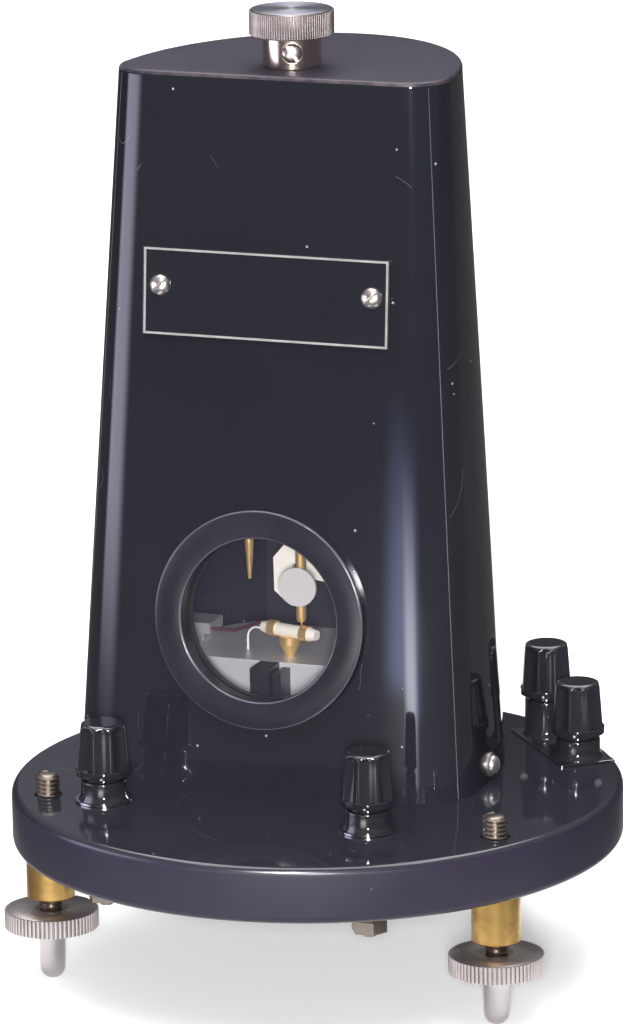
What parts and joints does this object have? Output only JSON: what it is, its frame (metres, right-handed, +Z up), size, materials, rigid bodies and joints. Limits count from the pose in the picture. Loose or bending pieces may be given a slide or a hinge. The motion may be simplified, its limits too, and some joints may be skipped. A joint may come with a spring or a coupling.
{
  "type": "ballistic galvanometer",
  "caption": "Suspended-coil galvanometer in a tapered moulded tower with a round window, on a disc base with levelling screws and binding posts.",
  "frame": {"origin": "on the ground under the centre of the round base, at the level of the foot tips", "axes": "+Z up, -Y towards the front with the window, +X to the right seen from the front"},
  "size_m": [0.2, 0.204, 0.3122],
  "materials": {
    "bakelite": "glossy black moulding with a faint violet cast",
    "black_fittings": "dull black insulator and retaining rings",
    "plate": "black enamel with a bright raised border",
    "nickel": "aged nickel plate",
    "steel": "bare turned steel",
    "brass": "aged brass",
    "glass": "clear flat glass",
    "mirror": "silvered glass",
    "light_metal": "bright machined alloy",
    "iron": "dark iron",
    "copper": "varnished copper wire",
    "lead_red": "cloth-covered lead",
    "lead_white": "pale sleeved lead"
  },
  "bodies": {
    "base": {"base_disc": "bakelite", "tower_shell": "bakelite", "window_bezel": "bakelite", "terminal_collars": "bakelite", "glass_ring": "black_fittings", "bezel_nut": "black_fittings", "insulator_posts": "black_fittings", "name_plate": "plate", "torsion_collar": "nickel", "plate_screws": "nickel", "terminal_washers": "nickel", "case_screws": "steel", "case_lugs": "steel", "foot_bushes": "brass", "collar_nut": "brass", "terminal_studs": "brass", "terminal_nuts": "brass", "anchor_boss": "brass", "anchor_tube": "brass", "anchor_ferrules": "brass", "lower_ligament": "brass", "guide_pin": "brass", "core_bracket": "brass", "window_glass": "glass", "platform_block": "light_metal", "platform_pillars": "light_metal", "side_bracket": "light_metal", "rear_bracket": "light_metal", "magnet_ring": "iron", "pole_piece_left": "iron", "pole_piece_right": "iron", "iron_core": "iron", "back_plate": "iron", "lead_dark": "lead_red", "lead_light": "lead_white"},
    "torsion_head": {"torsion_knob": "nickel", "torsion_stem": "nickel"},
    "lock": {"lock_screw": "nickel"},
    "coil": {"coil_former": "light_metal", "coil_winding": "copper", "coil_spindle": "brass", "mirror": "mirror", "suspension_wire": "brass"},
    "foot_left_tip": {"foot_tip_left": "steel"},
    "foot_left_screw": {"levelling_screw_left": "steel", "thumbwheel_left": "steel"},
    "foot_right_tip": {"foot_tip_right": "steel"},
    "foot_right_screw": {"levelling_screw_right": "steel", "thumbwheel_right": "steel"},
    "foot_rear_tip": {"foot_tip_rear": "steel"},
    "foot_rear_screw": {"levelling_screw_rear": "steel", "thumbwheel_rear": "steel"},
    "post_1_insert": {"cap_insert_1": "brass"},
    "post_1_cap": {"terminal_cap_1": "bakelite"},
    "post_2_insert": {"cap_insert_2": "brass"},
    "post_2_cap": {"terminal_cap_2": "bakelite"},
    "post_3_insert": {"cap_insert_3": "brass"},
    "post_3_cap": {"terminal_cap_3": "bakelite"},
    "post_4_insert": {"cap_insert_4": "brass"},
    "post_4_cap": {"terminal_cap_4": "bakelite"}
  },
  "joints": [
    {"name": "torsion_head_turn", "type": "hinge", "parent": "base", "child": "torsion_head", "pos_m": [-0.0132, 0.0225, 0.2935], "axis": [0, 0, 1], "range_deg": [-30, 30]},
    {"name": "coil_swing", "type": "hinge", "parent": "torsion_head", "child": "coil", "pos_m": [-0.0132, 0.0225, 0.177], "axis": [0, 0, 1], "range_deg": [-15, 15], "stiffness_Nm_per_rad": 0.00002},
    {"name": "lock_screw_turn", "type": "hinge", "parent": "base", "child": "lock", "pos_m": [-0.0132, 0.0225, 0.2991], "axis": [0.3551, -0.9348, 0], "range_deg": [0, 270]},
    {"name": "foot_left_lift", "type": "slide", "parent": "base", "child": "foot_left_tip", "axis": [0, 0, 1], "range_m": [-0.007, 0.0035]},
    {"name": "foot_left_turn", "type": "hinge", "parent": "foot_left_tip", "child": "foot_left_screw", "pos_m": [-0.07673, -0.0443, 0.02], "axis": [0, 0, 1], "range_deg": [-1785, 892]},
    {"name": "foot_right_lift", "type": "slide", "parent": "base", "child": "foot_right_tip", "axis": [0, 0, 1], "range_m": [-0.007, 0.0035]},
    {"name": "foot_right_turn", "type": "hinge", "parent": "foot_right_tip", "child": "foot_right_screw", "pos_m": [0.07673, -0.0443, 0.02], "axis": [0, 0, 1], "range_deg": [-1785, 892]},
    {"name": "foot_rear_lift", "type": "slide", "parent": "base", "child": "foot_rear_tip", "axis": [0, 0, 1], "range_m": [-0.007, 0.0035]},
    {"name": "foot_rear_turn", "type": "hinge", "parent": "foot_rear_tip", "child": "foot_rear_screw", "pos_m": [0, 0.0886, 0.02], "axis": [0, 0, 1], "range_deg": [-1785, 892]},
    {"name": "post_1_lift", "type": "slide", "parent": "base", "child": "post_1_insert", "axis": [0, 0, 1], "range_m": [0, 0.0048]},
    {"name": "post_1_turn", "type": "hinge", "parent": "post_1_insert", "child": "post_1_cap", "pos_m": [-0.0569, -0.04493, 0.08], "axis": [0, 0, 1], "range_deg": [0, 2160]},
    {"name": "post_2_lift", "type": "slide", "parent": "base", "child": "post_2_insert", "axis": [0, 0, 1], "range_m": [0, 0.0048]},
    {"name": "post_2_turn", "type": "hinge", "parent": "post_2_insert", "child": "post_2_cap", "pos_m": [0.036, -0.05011, 0.08], "axis": [0, 0, 1], "range_deg": [0, 2160]},
    {"name": "post_3_lift", "type": "slide", "parent": "base", "child": "post_3_insert", "axis": [0, 0, 1], "range_m": [0, 0.0048]},
    {"name": "post_3_turn", "type": "hinge", "parent": "post_3_insert", "child": "post_3_cap", "pos_m": [0.07414, 0.04741, 0.08], "axis": [0, 0, 1], "range_deg": [0, 2160]},
    {"name": "post_4_lift", "type": "slide", "parent": "base", "child": "post_4_insert", "axis": [0, 0, 1], "range_m": [0, 0.0048]},
    {"name": "post_4_turn", "type": "hinge", "parent": "post_4_insert", "child": "post_4_cap", "pos_m": [0.05589, 0.06952, 0.08], "axis": [0, 0, 1], "range_deg": [0, 2160]}
  ],
  "couplings": [
    {"joint": "foot_left_lift", "follows": "foot_left_turn", "m_per_rad": 0.00022457},
    {"joint": "foot_right_lift", "follows": "foot_right_turn", "m_per_rad": 0.00022457},
    {"joint": "foot_rear_lift", "follows": "foot_rear_turn", "m_per_rad": 0.00022457},
    {"joint": "post_1_lift", "follows": "post_1_turn", "m_per_rad": 0.00012732},
    {"joint": "post_2_lift", "follows": "post_2_turn", "m_per_rad": 0.00012732},
    {"joint": "post_3_lift", "follows": "post_3_turn", "m_per_rad": 0.00012732},
    {"joint": "post_4_lift", "follows": "post_4_turn", "m_per_rad": 0.00012732}
  ]
}
